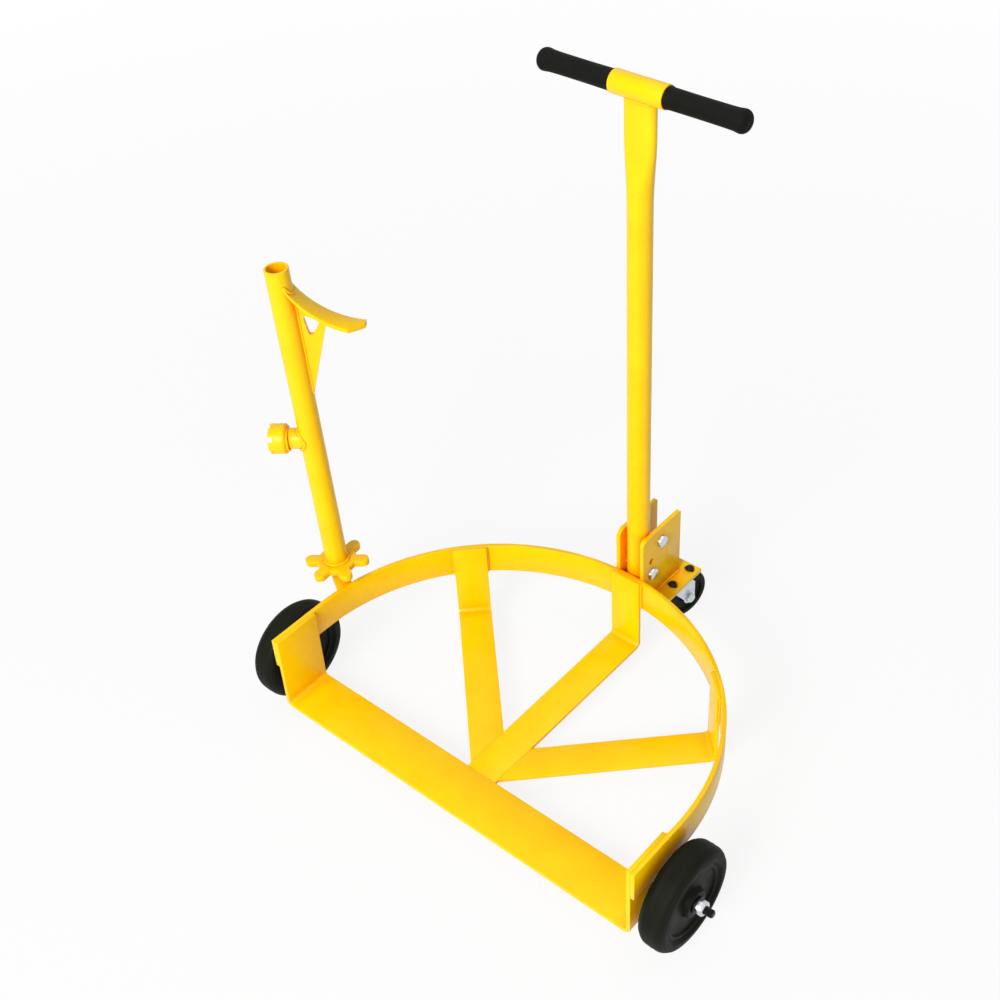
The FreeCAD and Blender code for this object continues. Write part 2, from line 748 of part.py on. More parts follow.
def on_post(solid, height, heading):
    """Places a piece, drawn standing on Z, on the post's axis with its +X turned to a heading."""
    turn = lean_turn().multiply(FreeCAD.Rotation(Vector(0, 0, 1), heading - post_angle))
    foot = post_foot() + lean_turn().multVec(Vector(0, 0, height))
    solid.Placement = FreeCAD.Placement(foot, turn).multiply(solid.Placement)
    return solid


def make_tool_post():
    """Round bar bent up from the rim's outer face into a leaning post."""
    root = Vector(rim_outer_radius, 0, post_root_z)
    disc = Part.Face(Part.Wire(Part.makeCircle(post_radius, root, Vector(1, 0, 0))))
    centre = root + Vector(0, 0, post_bend_radius)
    bend = disc.revolve(centre, Vector(0, -1, 0), 90 - post_lean)
    stub = Part.makeCylinder(post_radius, bar_thickness, root - Vector(bar_thickness, 0, 0), Vector(1, 0, 0))
    bend = bend.fuse(stub)
    bend.rotate(Vector(0, 0, 0), Vector(0, 0, 1), post_angle)
    straight = lathe([(0, 0), (post_radius, 0), (post_radius, post_length - post_tip_chamfer),
                      (post_radius - post_tip_chamfer, post_length), (0, post_length)])
    post = bend.fuse(on_post(straight, 0, post_angle)).removeSplitter()
    return post.cut(rim_cylinder(rim_outer_radius))


def make_stop_ring():
    """Ring on the post that the lever's tube stands on."""
    ring = tube(lever_radius, post_radius, stop_ring_height)
    return on_post(ring, lever_seat - stop_ring_height, post_angle)


def on_lever(solid):
    """Places a lever piece, drawn with the tube's foot at the origin and the hook towards +X."""
    return on_post(solid, lever_seat, lever_heading)


def make_lever_tube():
    """Open steel tube that slips over the post."""
    return on_lever(tube(lever_radius, lever_radius - lever_wall, lever_length))


def make_star_head():
    """Star-shaped wrench plate round the tube's foot, with rounded lobes."""
    star = Part.makeCylinder(star_root_radius, star_thickness)
    corner = Vector(0, -star_lobe_radius, 0)
    for step in range(star_lobes):
        lobe = Part.makeBox(star_reach, 2 * star_lobe_radius, star_thickness, corner)
        tip = Part.makeCylinder(star_lobe_radius, star_thickness, Vector(star_reach, 0, 0))
        lobe = lobe.fuse(tip)
        lobe.rotate(Vector(0, 0, 0), Vector(0, 0, 1), star_turn + 360 * step / star_lobes)
        star = star.fuse(lobe)
    star = star.removeSplitter()
    return on_lever(star.cut(Part.makeCylinder(lever_radius, star_thickness)))


def make_side_stub():
    """Round neck welded to the tube that carries the side head."""
    bar = Part.makeCylinder(side_neck_radius, side_head_start)
    bar = along_x(bar, 0, 0, side_head_height, -1)
    return on_lever(bar.cut(Part.makeCylinder(lever_radius, lever_length)))


def make_side_head():
    """Castellated socket head, slotted across its face."""
    inner_edge = side_head_radius - side_head_chamfer
    head = lathe([(0, 0), (inner_edge, 0), (side_head_radius, side_head_chamfer),
                  (side_head_radius, side_head_length), (0, side_head_length)])
    floor = side_head_length - side_slot_depth
    head = head.cut(Part.makeCylinder(side_neck_radius, side_slot_depth, Vector(0, 0, floor)))
    corner = Vector(-side_head_radius, -side_slot_width / 2, floor)
    for step in range(side_head_slots):
        slot = Part.makeBox(2 * side_head_radius, side_slot_width, side_slot_depth, corner)
        slot.rotate(Vector(0, 0, 0), Vector(0, 0, 1), 180 * step / side_head_slots)
        head = head.cut(slot)
    return on_lever(along_x(head, -side_head_start, 0, side_head_height, -1))


def lip_point(reach, drop):
    """Point on the hook lip's upper curve, or at a drop below it, in the lever's XZ plane."""
    curve = Part.Circle(Vector(lever_radius, 0, hook_top - hook_lip_start_drop),
                        Vector(hook_lip_middle, 0, hook_top - hook_lip_start_drop - hook_lip_middle_drop),
                        Vector(hook_lip_tip, 0, hook_top - hook_lip_start_drop - hook_lip_tip_drop))
    fall = math.sqrt(curve.Radius ** 2 - (reach - curve.Center.x) ** 2)
    return Vector(reach, 0, curve.Center.z - fall - drop)


def lip_arc(end, drop):
    """Arc of the hook lip from the tube's axis out to a reach."""
    return Part.Arc(lip_point(0, drop), lip_point(end / 2, drop), lip_point(end, drop)).toShape()


def outside_tube(solid):
    """Cuts the lever tube's outer shape from a piece that is welded to it."""
    return solid.cut(Part.makeCylinder(lever_radius, lever_length))


def make_hook_lip():
    """Curved lip that runs out from the tube to catch the drum's rim, one corner cut back."""
    upper = lip_arc(hook_lip_tip, 0)
    lower = lip_arc(hook_lip_tip, bar_thickness)
    sides = []
    for reach in (0, hook_lip_tip):
        sides.append(Part.LineSegment(lip_point(reach, 0), lip_point(reach, bar_thickness)).toShape())
    outline = Part.Wire(Part.__sortEdges__([upper, lower] + sides))
    half_width = hook_lip_width / 2
    lip = moved(Part.Face(outline).extrude(Vector(0, hook_lip_width, 0)), 0, -half_width, 0)
    corner = prism([(hook_lip_tip, -half_width), (hook_lip_tip, hook_lip_cut - half_width),
                    (hook_lip_tip - hook_lip_cut, -half_width)], lever_length)
    return on_lever(outside_tube(lip.cut(corner)))


def make_hook_gusset():
    """Plate under the lip that runs down to the tube, with a three-cornered hole beside the tube."""
    crest = lip_point(0, bar_thickness)
    corner = lip_point(hook_gusset_reach, bar_thickness)
    toe = Vector(lever_radius, 0, hook_top - hook_depth)
    heel = Vector(0, 0, hook_top - hook_depth)
    outline = Part.Wire([
        lip_arc(hook_gusset_reach, bar_thickness), Part.LineSegment(corner, toe).toShape(),
        Part.LineSegment(toe, heel).toShape(), Part.LineSegment(heel, crest).toShape(),
    ])
    plate = moved(Part.Face(outline).extrude(Vector(0, bar_thickness, 0)), 0, -bar_thickness / 2, 0)
    return on_lever(outside_tube(plate).cut(hook_hole()))


def hook_hole():
    """Hole in the gusset: its top slopes with the lip, and its three corners are rounded."""
    inner = lever_radius + hook_hole_inset
    outer = inner + hook_hole_width
    top = lip_point(inner, bar_thickness + hook_hole_inner_margin)
    side = lip_point(outer, bar_thickness + hook_hole_outer_margin)
    foot = Vector(inner + hook_hole_foot, 0, top.z - hook_hole_height)
    triangle = Part.Face(Part.makePolygon([top, side, foot, top]))
    hole = moved(triangle.extrude(Vector(0, 2 * bar_thickness, 0)), 0, -bar_thickness, 0)
    corners = [edge for edge in hole.Edges if edge.BoundBox.YLength > bar_thickness]
    return hole.makeFillet(hook_hole_round, corners)


def all_pieces():
    """Every node's solid by name."""
    pieces = {
        "rim": make_rim(),
        "front_bar": make_front_bar(),
        "centre_spoke": make_centre_spoke(),
        "left_spoke": make_side_spoke(-1),
        "right_spoke": make_side_spoke(1),
        "bracket_plate": make_bracket_plate(),
        "left_cheek": make_cheek(-1),
        "right_cheek": make_cheek(1),
        "pivot_bolt": make_bracket_bolt(handle_y, pivot_z),
        "pivot_nut": make_bracket_nut(handle_y, pivot_z),
        "stop_bolt": make_bracket_bolt(stop_bolt_y, stop_bolt_z),
        "stop_nut": make_bracket_nut(stop_bolt_y, stop_bolt_z),
        "handle_tube": make_handle_tube(),
        "cross_sleeve": make_cross_sleeve(),
        "crossbar": make_crossbar(),
        "left_grip": make_grip(-1),
        "right_grip": make_grip(1),
        "tool_post": make_tool_post(),
        "stop_ring": make_stop_ring(),
        "lever_tube": make_lever_tube(),
        "star_head": make_star_head(),
        "side_stub": make_side_stub(),
        "side_head": make_side_head(),
        "hook_gusset": make_hook_gusset(),
        "hook_lip": make_hook_lip(),
    }
    pieces.update(make_side_wheel("left", -1))
    pieces.update(make_side_wheel("right", 1))
    pieces.update(make_caster())
    return pieces


os.makedirs("parts", exist_ok=True)
for node, solid in all_pieces().items():
    solid.exportStep("parts/" + node + ".step")
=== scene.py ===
import json
import math

import bmesh
import bpy
from mathutils import Matrix, Vector


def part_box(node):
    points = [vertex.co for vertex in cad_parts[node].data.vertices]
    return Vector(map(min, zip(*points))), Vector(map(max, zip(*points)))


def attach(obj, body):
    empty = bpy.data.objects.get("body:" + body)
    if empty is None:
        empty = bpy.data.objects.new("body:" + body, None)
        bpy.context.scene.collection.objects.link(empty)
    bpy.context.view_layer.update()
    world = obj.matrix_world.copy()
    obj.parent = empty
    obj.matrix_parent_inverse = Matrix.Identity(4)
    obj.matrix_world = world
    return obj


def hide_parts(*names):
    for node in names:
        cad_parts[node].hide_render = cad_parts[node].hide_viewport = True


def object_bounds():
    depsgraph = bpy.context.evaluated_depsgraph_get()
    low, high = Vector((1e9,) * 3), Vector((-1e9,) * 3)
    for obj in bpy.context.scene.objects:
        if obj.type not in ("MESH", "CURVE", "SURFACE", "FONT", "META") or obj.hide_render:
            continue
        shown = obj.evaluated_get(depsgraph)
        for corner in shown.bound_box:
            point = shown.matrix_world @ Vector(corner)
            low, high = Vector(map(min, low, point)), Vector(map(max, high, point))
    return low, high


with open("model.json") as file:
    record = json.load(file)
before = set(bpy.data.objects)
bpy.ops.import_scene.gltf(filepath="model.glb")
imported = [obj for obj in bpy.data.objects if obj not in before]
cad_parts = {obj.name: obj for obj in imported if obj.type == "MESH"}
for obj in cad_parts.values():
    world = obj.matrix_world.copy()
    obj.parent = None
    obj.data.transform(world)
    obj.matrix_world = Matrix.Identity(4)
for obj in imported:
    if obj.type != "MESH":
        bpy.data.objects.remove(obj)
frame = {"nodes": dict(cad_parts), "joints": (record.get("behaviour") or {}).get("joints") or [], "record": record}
cad_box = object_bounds()

MM = 0.001
X_AXIS = Vector((1, 0, 0))
Z_AXIS = Vector((0, 0, 1))
FULL_TURN = 2 * math.pi
QUARTER_TURN = math.pi / 2
SMOOTH_ANGLE = math.radians(32)
WELD_SMOOTH_ANGLE = math.radians(60)
FLAT_ANGLE = math.radians(0.5)
SAME_POINT = 0.002 * MM

# Places read from the frame, in metres
RIM_LOW, RIM_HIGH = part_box("rim")
CHEEK_LOW, CHEEK_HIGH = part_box("right_cheek")
PLATE_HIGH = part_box("bracket_plate")[1]
BAR = CHEEK_HIGH.x - CHEEK_LOW.x
RIM_OUT = RIM_HIGH.x
RIM_IN = RIM_OUT - BAR
RIM_TOP = RIM_HIGH.z
RIM_BOTTOM = RIM_LOW.z
SPOKE_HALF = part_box("centre_spoke")[1].x
FRONT_BAR_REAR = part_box("front_bar")[1].y
FLOOR_Z = cad_box[0][2]
JOINTS = {joint["name"]: joint for joint in frame["joints"]}

# Sizes that the boxes don't give, in millimetres and degrees

# Frame and post
SIDE_SPOKE_ANGLE = 45.0
SIDE_SPOKE_OFFSET = -5.0
POST_ANGLE = 170.0
POST_ROOT_HEIGHT = 100.0
POST_RADIUS = 12.7

# Welds: ripples of a rope that is laid along a joint and tapers at its ends
WELD_RADIUS = 2.4
WELD_STEP = 1.1
WELD_PITCH = 3.6
WELD_RIPPLE = 0.13
WELD_END_SHARE = 0.45
WELD_END_GROWTH = 0.2
WELD_SIDES = 8
WELD_INSET = 0.6
PLATE_WELD_STEPS = 8
RING_WELD_STEPS = 40

# Side wheels; the steps are those of the shoulder's quarter circle
TYRE_SEAT_RADIUS = 56.0
TYRE_LIP = 3.5
TYRE_SHOULDER = 13.0
TYRE_TURN_STEPS = 128
SHOULDER_STEPS = 28
SHOULDER_RING = 0.5
SHOULDER_RING_STEPS = (10, 11)
MOULD_LINE_HEIGHT = 0.35
MOULD_LINE_FOOT = 0.9
MOULD_LINE_CREST = 0.4

# Axles
AXLE_RADIUS = 6.0
AXLE_SIDES = 36
AXLE_POINT_SHARES = (0.4, 0.7, 1.0)
THREAD_PITCH = 1.75
THREAD_DEPTH = 0.9
THREAD_STEPS = 6

# Handle
HANDLE_WALL = 3.38
FLATTENING_START = 735.0
FLATTENING_END = 830.0
FLATTENING_STEPS = 8
FLAT_HALF_THICKNESS = 7.0
SADDLE_SINK = 0.2
PIVOT_BORE = 5.05
PIN_BORE = 5.5
PIN_HEIGHT = 149.0
DRILL_REACH = 50.0
DRILL_STEPS = 48
SLEEVE_WELD_RADIUS = 2.2

# Grips: pairs of depth under the widest radius and distance, first from the sleeve, then from the tip
GRIP_SLIMNESS = 1.0
GRIP_COLLAR = ((1.2, 0.0), (0.4, 0.8), (0.4, 2.5), (1.2, 5.0), (1.2, 10.0))
GRIP_SWELLING = ((1.2, 26.0), (0.9, 17.0), (0.2, 12.0))
GRIP_WAIST = 0.2
GRIP_TIP_ROUND = 9.0
GRIP_CAP = 4.0
GRIP_STEPS = 10
GRIP_TURN_STEPS = 64

# Lever, in the tube's own axes
LEVER_RADIUS = 16.7
LEVER_WALL = 3.38
LEVER_EDGE = 0.6
LEVER_TURN_STEPS = 72
LEVER_WELD_PROUD = 0.4
STAR_THICKNESS = 10.0
STAR_WELD_PROUD = 0.5
STAR_WELD_RADIUS = 2.6
SIDE_HEAD_HEIGHT = 231.0
SIDE_NECK_RADIUS = 15.0
SIDE_NECK_END = 33.0
SIDE_NECK_SINK = 0.3
SIDE_HEAD_WELD_RADIUS = 1.8
STUB_WELD_STEPS = 32
HOOK_TOP = 467.0
HOOK_FOOT = 308.0
HOOK_WELD_TOP = 450.0
HOOK_WELD_RADIUS = 2.2
LIP_CURVE_RADIUS = 127.7
LIP_CURVE_REACH = 122.0
LIP_CURVE_RISE = 70.3
LIP_HALF_WIDTH = 15.5
LIP_WELD_STEPS = 12
GUSSET_WELD_INSET = 0.5

# Post weld
POST_WELD_RADIUS = 2.8
POST_WELD_PROUD = 0.3
POST_WELD_OFFSET = 0.5

# Camera and stage, in metres and degrees
CAMERA_EYE = Vector((0.987507, -0.987669, 1.693705))
CAMERA_AZIMUTH = 43.390
CAMERA_ELEVATION = 40.755
CAMERA_ROLL = 4.170
CAMERA_LENS = 55.060
CAMERA_SENSOR = 36.0
CAMERA_FAR = 50.0
FLOOR_WHITENESS = 0.87
FLOOR_HALF = 12.0
FADE_START = 0.9
FADE_END = 3.2
WORLD_LIGHT = 0.3

# Name, place, target and size in metres, and power in watts
LAMPS = (
    ("key", (0.9, -4.9, 3.6), (0.0, 0.1, 0.3), 2.6, 385),
    ("top", (0.0, 0.8, 4.2), (0.0, 0.3, 0.2), 3.0, 34),
)


# Finishes

def linear(hex_code):
    """sRGB hex to the linear colour that the shaders take."""
    channels = [int(hex_code[i:i + 2], 16) / 255 for i in (1, 3, 5)]
    curve = [c / 12.92 if c <= 0.04045 else ((c + 0.055) / 1.055) ** 2.4 for c in channels]
    return (*curve, 1.0)


def per(size_mm):
    """Texture scale whose features are about this many millimetres across."""
    return 1 / (size_mm * MM)


def add(tree, kind, inputs=None, **settings):
    """Adds a node; inputs gives a socket its value, or the socket or node that feeds it."""
    node = tree.nodes.new(kind)
    for key, value in settings.items():
        setattr(node, key, value)
    for key, value in (inputs or {}).items():
        if isinstance(value, bpy.types.Node):
            value = next(socket for socket in value.outputs if socket.enabled)
        if isinstance(value, bpy.types.NodeSocket):
            tree.links.new(value, node.inputs[key])
        else:
            node.inputs[key].default_value = value
    return node


def new_finish(name):
    """New material: its empty node tree and the object's own coordinates."""
    material = bpy.data.materials.new(name)
    material.use_nodes = True
    tree = material.node_tree
    tree.nodes.clear()
    return material, tree, add(tree, "ShaderNodeTexCoord").outputs["Object"]


def gloss_enamel():
    """Safety-yellow enamel sprayed on mild steel: a soft gloss, slightly rippled, with painted shade that turns it
    deeper orange in corners.
    """
    material, tree, place = new_finish("sprayed_gloss_enamel_yellow")
    drift = add(tree, "ShaderNodeTexNoise", {"Vector": place, "Scale": per(55), "Detail": 3.0})
    drift = add(tree, "ShaderNodeMapRange", {"Value": drift, "From Min": 0.3, "From Max": 0.7})
    even = add(tree, "ShaderNodeMix", {0: drift, 6: linear("#FFD000"), 7: linear("#FFC700")},
               data_type="RGBA")
    # Painted shade: where corners are occluded, the yellow is mixed towards a deeper orange
    corners = add(tree, "ShaderNodeAmbientOcclusion", {"Distance": 24 * MM}, samples=6).outputs["AO"]
    painted_corner_shade = add(tree, "ShaderNodeMapRange", {"Value": corners, "From Min": 0.45, "From Max": 0.95,
                                              "To Min": 1.0, "To Max": 0.0})
    colour = add(tree, "ShaderNodeMix", {0: painted_corner_shade, 6: even, 7: linear("#FFA600")}, data_type="RGBA")
    spray = add(tree, "ShaderNodeTexNoise", {"Vector": place, "Scale": per(30), "Detail": 3.0})
    rough = add(tree, "ShaderNodeMapRange", {"Value": spray, "From Min": 0.3, "From Max": 0.7,
                                             "To Min": 0.22, "To Max": 0.34})
    # Orange peel is about 2 mm from crest to crest
    peel = add(tree, "ShaderNodeTexNoise", {"Vector": place, "Scale": per(2.2), "Detail": 2.0})
    bump = add(tree, "ShaderNodeBump", {"Height": peel, "Distance": 0.05 * MM, "Strength": 0.35})
    shader = add(tree, "ShaderNodeBsdfPrincipled", {
        "Base Color": colour, "Roughness": rough, "Normal": bump, "IOR": 1.5, "Specular IOR Level": 0.22})
    add(tree, "ShaderNodeOutputMaterial", {"Surface": shader})
    return material


def zinc_plate():
    """Bright zinc plating: a silvery metal with cloudy, slightly bluish patches."""
    material, tree, place = new_finish("bright_zinc_plate")
    clouds = add(tree, "ShaderNodeTexNoise", {"Vector": place, "Scale": per(9), "Detail": 3.0})
    colour = add(tree, "ShaderNodeMix", {0: clouds, 6: linear("#D9DCDF"), 7: linear("#B9C0C6")},
                 data_type="RGBA")
    rough = add(tree, "ShaderNodeMapRange", {"Value": clouds, "From Min": 0.3, "From Max": 0.7,
                                             "To Min": 0.2, "To Max": 0.38})
    # Plating grain, drawn at 0.8 mm so that it shows
    grain = add(tree, "ShaderNodeTexNoise", {"Vector": place, "Scale": per(0.8), "Detail": 3.0})
    bump = add(tree, "ShaderNodeBump", {"Height": grain, "Distance": 0.02 * MM, "Strength": 0.2})
    shader = add(tree, "ShaderNodeBsdfPrincipled", {
        "Base Color": colour, "Roughness": rough, "Normal": bump, "Metallic": 1.0})
    add(tree, "ShaderNodeOutputMaterial", {"Surface": shader})
    return material


def solid_rubber():
    """Black vulcanised rubber: dull, faintly grey-green where it has bloomed, scuffed in patches."""
    material, tree, place = new_finish("vulcanised_rubber_black")
    patches = add(tree, "ShaderNodeTexNoise", {"Vector": place, "Scale": per(28), "Detail": 5.0})
    bloom = add(tree, "ShaderNodeMapRange", {"Value": patches, "From Min": 0.38, "From Max": 0.7})
    colour = add(tree, "ShaderNodeMix", {0: bloom, 6: linear("#0B0D06"), 7: linear("#14170B")},
                 data_type="RGBA")
    rough = add(tree, "ShaderNodeMapRange", {"Value": bloom, "To Min": 0.55, "To Max": 0.72})
    # Moulded grain, drawn at 1.2 mm so that it shows
    grain = add(tree, "ShaderNodeTexNoise", {"Vector": place, "Scale": per(1.2), "Detail": 3.0})
    bump = add(tree, "ShaderNodeBump", {"Height": grain, "Distance": 0.08 * MM, "Strength": 0.35})
    shader = add(tree, "ShaderNodeBsdfPrincipled", {
        "Base Color": colour, "Roughness": rough, "Normal": bump, "IOR": 1.52, "Specular IOR Level": 0.1})
    add(tree, "ShaderNodeOutputMaterial", {"Surface": shader})
    return material


def moulded_polyolefin():
    """Black injection-moulded polyolefin: low sheen with a fine eroded texture."""
    material, tree, place = new_finish("moulded_polyolefin_black")
    flow = add(tree, "ShaderNodeTexNoise", {"Vector": place, "Scale": per(20), "Detail": 4.0})
    colour = add(tree, "ShaderNodeMix", {0: flow, 6: linear("#0A0C06"), 7: linear("#11140A")},
                 data_type="RGBA")
    rough = add(tree, "ShaderNodeMapRange", {"Value": flow, "From Min": 0.3, "From Max": 0.7,
                                             "To Min": 0.46, "To Max": 0.6})
    # Spark-eroded mould grain, drawn at 0.9 mm so that it shows
    grain = add(tree, "ShaderNodeTexNoise", {"Vector": place, "Scale": per(0.9), "Detail": 3.0})
    bump = add(tree, "ShaderNodeBump", {"Height": grain, "Distance": 0.05 * MM, "Strength": 0.25})
    shader = add(tree, "ShaderNodeBsdfPrincipled", {
        "Base Color": colour, "Roughness": rough, "Normal": bump, "IOR": 1.49, "Specular IOR Level": 0.1})
    add(tree, "ShaderNodeOutputMaterial", {"Surface": shader})
    return material


def grip_vinyl():
    """Dip-moulded black vinyl grip: matte with a soft pebbled grain."""
    material, tree, place = new_finish("dipped_vinyl_black")
    wear = add(tree, "ShaderNodeTexNoise", {"Vector": place, "Scale": per(25), "Detail": 4.0})
    colour = add(tree, "ShaderNodeMix", {0: wear, 6: linear("#090906"), 7: linear("#0F100B")},
                 data_type="RGBA")
    rough = add(tree, "ShaderNodeMapRange", {"Value": wear, "From Min": 0.3, "From Max": 0.7,
                                             "To Min": 0.6, "To Max": 0.75})
    pebbles = add(tree, "ShaderNodeTexVoronoi", {"Vector": place, "Scale": per(1.6)}).outputs["Distance"]
    bump = add(tree, "ShaderNodeBump", {"Height": pebbles, "Distance": 0.12 * MM, "Strength": 0.4})
    shader = add(tree, "ShaderNodeBsdfPrincipled", {
        "Base Color": colour, "Roughness": rough, "Normal": bump, "IOR": 1.53, "Specular IOR Level": 0.1})
    add(tree, "ShaderNodeOutputMaterial", {"Surface": shader})
    return material


def acetal_bush():
    """Off-white turned acetal: waxy with faint machining variation."""
    material, tree, place = new_finish("turned_acetal_natural")
    lines = add(tree, "ShaderNodeTexNoise", {"Vector": place, "Scale": per(3), "Detail": 3.0})
    colour = add(tree, "ShaderNodeMix", {0: lines, 6: linear("#D8D5CB"), 7: linear("#C6C2B5")},
                 data_type="RGBA")
    rough = add(tree, "ShaderNodeMapRange", {"Value": lines, "From Min": 0.3, "From Max": 0.7,
                                             "To Min": 0.35, "To Max": 0.5})
    shader = add(tree, "ShaderNodeBsdfPrincipled", {"Base Color": colour, "Roughness": rough,
                                                    "IOR": 1.48})
    add(tree, "ShaderNodeOutputMaterial", {"Surface": shader})
    return material


def black_oxide():
    """Blackened steel screws: dark, oily metal."""
    material, tree, place = new_finish("black_oxide_steel")
    oil = add(tree, "ShaderNodeTexNoise", {"Vector": place, "Scale": per(6), "Detail": 3.0})
    colour = add(tree, "ShaderNodeMix", {0: oil, 6: linear("#1D1816"), 7: linear("#2E2723")},
                 data_type="RGBA")
    rough = add(tree, "ShaderNodeMapRange", {"Value": oil, "From Min": 0.3, "From Max": 0.7,
                                             "To Min": 0.32, "To Max": 0.48})
    shader = add(tree, "ShaderNodeBsdfPrincipled", {"Base Color": colour, "Roughness": rough,
                                                    "Metallic": 0.85})
    add(tree, "ShaderNodeOutputMaterial", {"Surface": shader})
    return material


def ground_steel():
    """Bare ground steel with a thin film of grease: bright, smeared in patches."""
    material, tree, place = new_finish("ground_steel_oiled")
    film = add(tree, "ShaderNodeTexNoise", {"Vector": place, "Scale": per(12), "Detail": 3.0})
    colour = add(tree, "ShaderNodeMix", {0: film, 6: linear("#B4B4B2"), 7: linear("#8F8E89")},
                 data_type="RGBA")
    rough = add(tree, "ShaderNodeMapRange", {"Value": film, "From Min": 0.3, "From Max": 0.7,
                                             "To Min": 0.18, "To Max": 0.34})
    shader = add(tree, "ShaderNodeBsdfPrincipled", {"Base Color": colour, "Roughness": rough,
                                                    "Metallic": 1.0})
    add(tree, "ShaderNodeOutputMaterial", {"Surface": shader})
    return material


FINISHES = {
    "yellow_paint": gloss_enamel(),
    "zinc_plate": zinc_plate(),
    "tyre_rubber": solid_rubber(),
    "wheel_plastic": moulded_polyolefin(),
    "grip_rubber": grip_vinyl(),
    "bush_plastic": acetal_bush(),
    "black_oxide": black_oxide(),
    "bearing_steel": ground_steel(),
}
NODE_SLOTS = {part["node"]: part["material_slot"] for part in frame["record"]["subparts"]}
BODIES = frame["record"]["behaviour"]["bodies"]
NODE_BODIES = {node: body for body, nodes in BODIES.items() for node in nodes}


# Mesh tools

def put(name, shape, body, slot, stands_for=(), smooth_angle=SMOOTH_ANGLE):
    """Makes a piece from a mesh, smooth up to an angle, and lets it ride on its body."""
    bmesh.ops.recalc_face_normals(shape, faces=shape.faces)
    mesh = bpy.data.meshes.new(name)
    shape.to_mesh(mesh)
    shape.free()
    mesh.shade_smooth()
    mesh.set_sharp_from_angle(angle=smooth_angle)
    mesh.materials.append(FINISHES[slot])
    piece = bpy.data.objects.new(name, mesh)
    bpy.context.scene.collection.objects.link(piece)
    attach(piece, body)
    if stands_for:
        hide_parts(*stands_for)
    return piece


def loft(shape, rings, closed=False):
    """Skins a run of rings with equal counts, and caps the ends unless the run is closed."""
    rows = [[shape.verts.new(point) for point in ring] for ring in rings]
    following = rows[1:] + (rows[:1] if closed else [])
    for low, high in zip(rows, following):
        for i in range(len(low)):
            j = (i + 1) % len(low)
            shape.faces.new((low[i], low[j], high[j], high[i]))
    if not closed:
        shape.faces.new(list(reversed(rows[0])))
        shape.faces.new(rows[-1])


def turn(shape, profile, place, steps):
    """Turns (radius, height) points, in metres, about Z and moves the result by a matrix."""
    start = [shape.verts.new((radius, 0, height)) for radius, height in profile]
    edges = [shape.edges.new(pair) for pair in zip(start, start[1:] + start[:1])]
    bmesh.ops.spin(shape, geom=start + edges, cent=(0, 0, 0), axis=Z_AXIS, angle=FULL_TURN, steps=steps,
                   use_merge=True)
    bmesh.ops.remove_doubles(shape, verts=shape.verts, dist=SAME_POINT)
    bmesh.ops.transform(shape, matrix=place, verts=shape.verts)


def dressed(node, edge_mm=0.0, shortest_mm=0.0, slot=None):
    """Stands for a CAD node with its own shape: faces joined up, longer sharp edges rounded."""
    shape = bmesh.new()
    shape.from_mesh(frame["nodes"][node].data)
    bmesh.ops.remove_doubles(shape, verts=shape.verts, dist=SAME_POINT)
    if edge_mm:
        bmesh.ops.dissolve_limit(shape, angle_limit=FLAT_ANGLE, verts=shape.verts, edges=shape.edges)
        sharp = [edge for edge in shape.edges
                 if edge.calc_length() > shortest_mm * MM and edge.calc_face_angle() > SMOOTH_ANGLE]
        bmesh.ops.bevel(shape, geom=sharp, offset=edge_mm * MM, segments=2, profile=0.5, affect="EDGES")
        bmesh.ops.remove_doubles(shape, verts=shape.verts, dist=SAME_POINT)
    return put(node + "_dressed", shape, NODE_BODIES[node], slot or NODE_SLOTS[node], [node])


def cut_away(piece, shape):
    """Cuts a mesh out of a piece."""
    bmesh.ops.recalc_face_normals(shape, faces=shape.faces)
    mesh = bpy.data.meshes.new("cutter")
    shape.to_mesh(mesh)
    shape.free()
    cutter = bpy.data.objects.new("cutter", mesh)
    bpy.context.scene.collection.objects.link(cutter)
    modifier = piece.modifiers.new("cut", "BOOLEAN")
    modifier.operation = "DIFFERENCE"
    modifier.solver = "EXACT"
    modifier.object = cutter
    bpy.context.view_layer.update()
    depsgraph = bpy.context.evaluated_depsgraph_get()
    result = bpy.data.meshes.new_from_object(piece.evaluated_get(depsgraph))
    piece.modifiers.clear()
    piece.data = result
    result.shade_smooth()
    result.set_sharp_from_angle(angle=SMOOTH_ANGLE)
    bpy.data.objects.remove(cutter)


def axis_place(origin, direction, up=Z_AXIS):
    """Matrix that takes local Z to a direction and local X as near as it can to up."""
    z = direction.normalized()
    y = z.cross(up).normalized()
    x = y.cross(z)
    return Matrix.Translation(origin) @ Matrix((x, y, z)).transposed().to_4x4()


def circle(radius, height, steps=64):
    """Ring of points about Z."""
    angles = [FULL_TURN * i / steps for i in range(steps)]
    return [Vector((radius * math.cos(angle), radius * math.sin(angle), height)) for angle in angles]


def stadium(half_width, half_thickness, height):
    """Flattened ring, wide along X, whose points start and step like a circle's."""
    points = circle(half_thickness, height)
    for point in points:
        if abs(point.x) > SAME_POINT:
            point.x += math.copysign(half_width - half_thickness, point.x)
    return points


